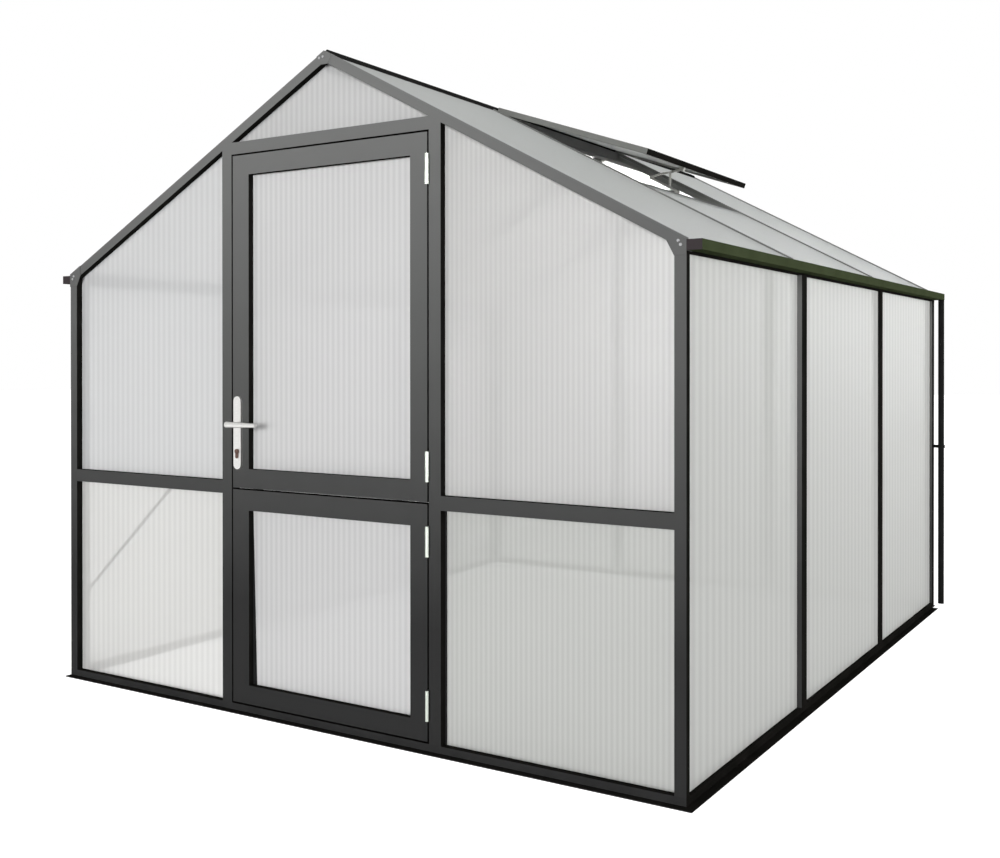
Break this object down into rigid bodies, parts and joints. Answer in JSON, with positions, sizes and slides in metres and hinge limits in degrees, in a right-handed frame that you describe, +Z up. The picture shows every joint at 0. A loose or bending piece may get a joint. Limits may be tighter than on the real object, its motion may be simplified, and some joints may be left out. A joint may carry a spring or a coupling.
{
  "type": "greenhouse",
  "caption": "Glazed garden greenhouse with a pitched roof, a stable door of two leaves with a lever handle, an open roof vent, gutters and downpipes.",
  "frame": {"origin": "middle of the overall box, on the ground", "axes": "+Z up; the gable with the door faces -Y, so +Y runs from the door to the rear gable; +X is to the right seen from outside the door"},
  "size_m": [2.676, 3.202, 2.257],
  "materials": {
    "frame_metal": "satin anthracite powder coat",
    "glazing": "translucent twin-wall polycarbonate",
    "satin_steel": "satin",
    "hinge_steel": "satin",
    "opener_metal": "mill finish",
    "downpipe": "satin black"
  },
  "bodies": {
    "frame": {"corner_brace": "frame_metal", "corner_posts": "frame_metal", "door_header": "frame_metal", "door_posts": "frame_metal", "downpipes": "downpipe", "eave_beams": "frame_metal", "front_gable_pane": "glazing", "front_joint_plates": "frame_metal", "front_lower_panes": "glazing", "front_mid_rails": "frame_metal", "front_rafters": "frame_metal", "front_sill": "frame_metal", "front_upper_panes": "glazing", "gutter_left": "frame_metal", "gutter_right": "frame_metal", "pipe_brackets": "frame_metal", "post_hinges": "hinge_steel", "rear_header": "frame_metal", "rear_joint_plates": "frame_metal", "rear_panes": "glazing", "rear_posts": "frame_metal", "rear_rafters": "frame_metal", "rear_sill": "frame_metal", "ridge_beam": "frame_metal", "ridge_cap": "frame_metal", "roof_bars": "frame_metal", "roof_panes_left": "glazing", "roof_panes_right": "glazing", "side_panes_left": "glazing", "side_panes_right": "glazing", "side_posts": "frame_metal", "side_sills": "frame_metal", "vent_curb": "frame_metal", "vent_frame": "frame_metal", "vent_opener": "opener_metal", "vent_pane": "glazing"},
    "upper_leaf": {"upper_leaf_stiles": "frame_metal", "upper_leaf_rails": "frame_metal", "upper_leaf_pane": "glazing", "upper_leaf_hinges": "hinge_steel", "handle_plates": "satin_steel", "lock_cylinder": "satin_steel"},
    "lower_leaf": {"lower_leaf_stiles": "frame_metal", "lower_leaf_rails": "frame_metal", "lower_leaf_pane": "glazing", "lower_leaf_hinges": "hinge_steel"},
    "lever": {"door_lever": "satin_steel"}
  },
  "joints": [
    {"name": "upper_leaf_swing", "type": "hinge", "parent": "frame", "child": "upper_leaf", "pos_m": [0.422, -1.549, 1.36], "axis": [0, 0, 1], "range_deg": [0, 110]},
    {"name": "lower_leaf_swing", "type": "hinge", "parent": "frame", "child": "lower_leaf", "pos_m": [0.422, -1.549, 0.4], "axis": [0, 0, 1], "range_deg": [0, 110]},
    {"name": "lever_turn", "type": "hinge", "parent": "upper_leaf", "child": "lever", "pos_m": [-0.39, -1.541, 1.003], "axis": [0, 1, 0], "range_deg": [0, 45], "stiffness_Nm_per_rad": 1.2, "springref_deg": -11.46}
  ]
}
